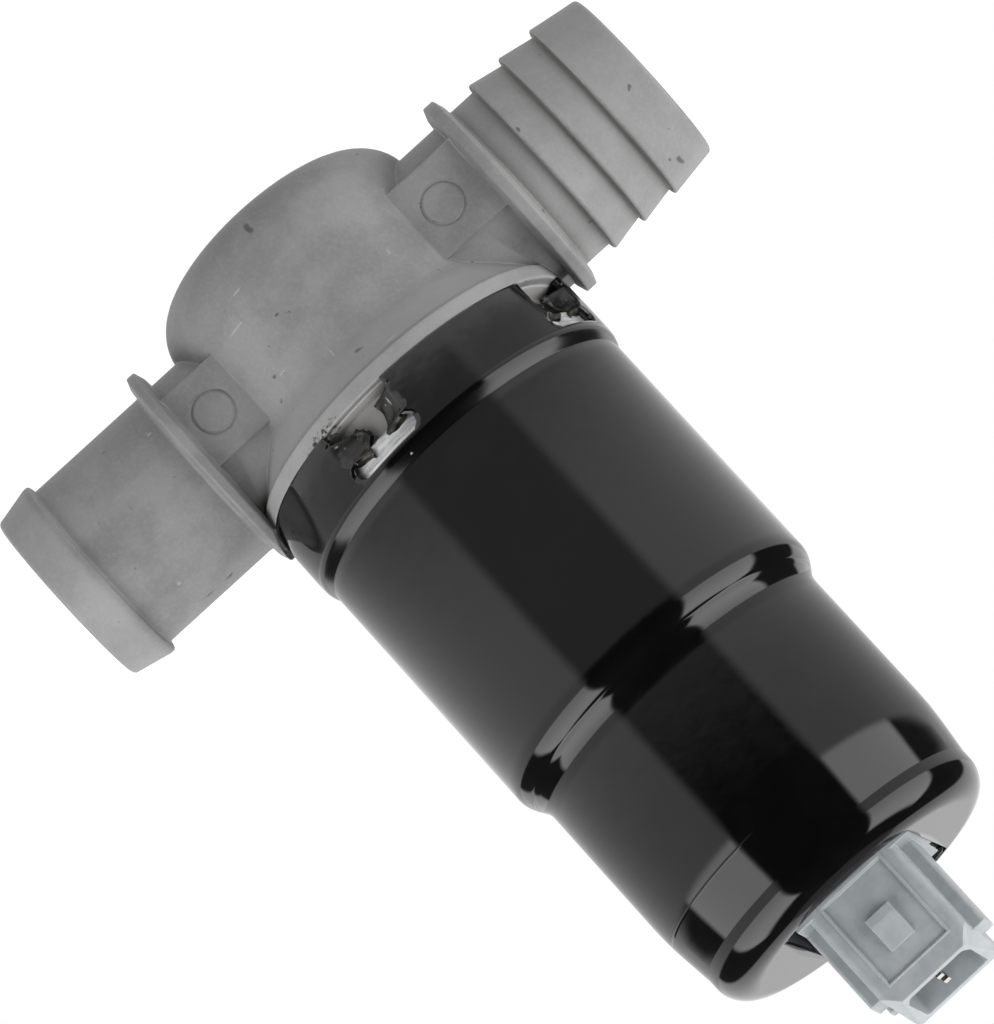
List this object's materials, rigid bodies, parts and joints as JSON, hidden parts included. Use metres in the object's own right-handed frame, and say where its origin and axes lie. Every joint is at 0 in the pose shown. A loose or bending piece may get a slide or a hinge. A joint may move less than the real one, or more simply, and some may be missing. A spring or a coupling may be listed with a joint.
{
  "type": "idle air control valve",
  "caption": "Rotary idle air valve: cast head with a plain and a barbed hose stub, black drawn-steel motor can staked to it, and a keyed blade connector.",
  "frame": {"origin": "on the motor axis, half way along the land of the can that the mounting clamp grips", "axes": "+Z along the motor axis towards the connector, +X along the plain hose stub"},
  "size_m": [0.0918, 0.0452, 0.1207],
  "materials": {
    "cast_aluminium": "die-cast, matte grey, stained and scratched",
    "can_paint": "gloss black paint on deep-drawn steel",
    "connector_plastic": "moulded polyamide, pale grey",
    "blade_metal": "tinned brass blades",
    "seal_rubber": "black nitrile rubber",
    "turned_aluminium": "turned, satin",
    "bearing_steel": "ground and polished",
    "shaft_steel": "ground",
    "slide_aluminium": "die-cast, machined rim",
    "magnet_ferrite": "sintered ferrite, dark grey",
    "soft_iron": "laminated, oiled",
    "bobbin_plastic": "moulded, natural",
    "copper_wire": "enamelled copper wire",
    "shield_plastic": "moulded, black",
    "spring_steel": "drawn wire"
  },
  "bodies": {
    "valve": {"valve_housing": "cast_aluminium", "motor_can": "can_paint", "housing_seal": "seal_rubber", "bearing_carrier": "turned_aluminium", "shaft_seal": "seal_rubber", "front_bearing_outer": "bearing_steel", "stop_pin": "shaft_steel", "return_spring": "spring_steel", "flux_ring": "soft_iron", "stator_core": "soft_iron", "bobbin_front": "bobbin_plastic", "bobbin_back": "bobbin_plastic", "winding_front": "copper_wire", "winding_back": "copper_wire", "coil_link": "copper_wire", "rear_bearing_outer": "bearing_steel", "rear_shield": "shield_plastic", "wave_washer": "spring_steel", "terminal_front": "blade_metal", "terminal_back": "blade_metal", "connector_seal": "seal_rubber", "connector_housing": "connector_plastic"},
    "rotor": {"rotor_shaft": "shaft_steel", "rotary_slide": "slide_aluminium", "slide_clip": "spring_steel", "front_bearing_inner": "bearing_steel", "front_bearing_balls": "bearing_steel", "stop_disc": "soft_iron", "rotor_core": "soft_iron", "magnet_north": "magnet_ferrite", "magnet_south": "magnet_ferrite", "rear_bearing_inner": "bearing_steel", "rear_bearing_balls": "bearing_steel"}
  },
  "joints": [
    {"name": "rotor_turn", "type": "hinge", "parent": "valve", "child": "rotor", "pos_m": [0, 0, -0.03883], "axis": [0, 0, 1], "range_deg": [0, 60], "stiffness_Nm_per_rad": 0.008, "springref_deg": -34.38, "deforming": ["return_spring"]}
  ]
}
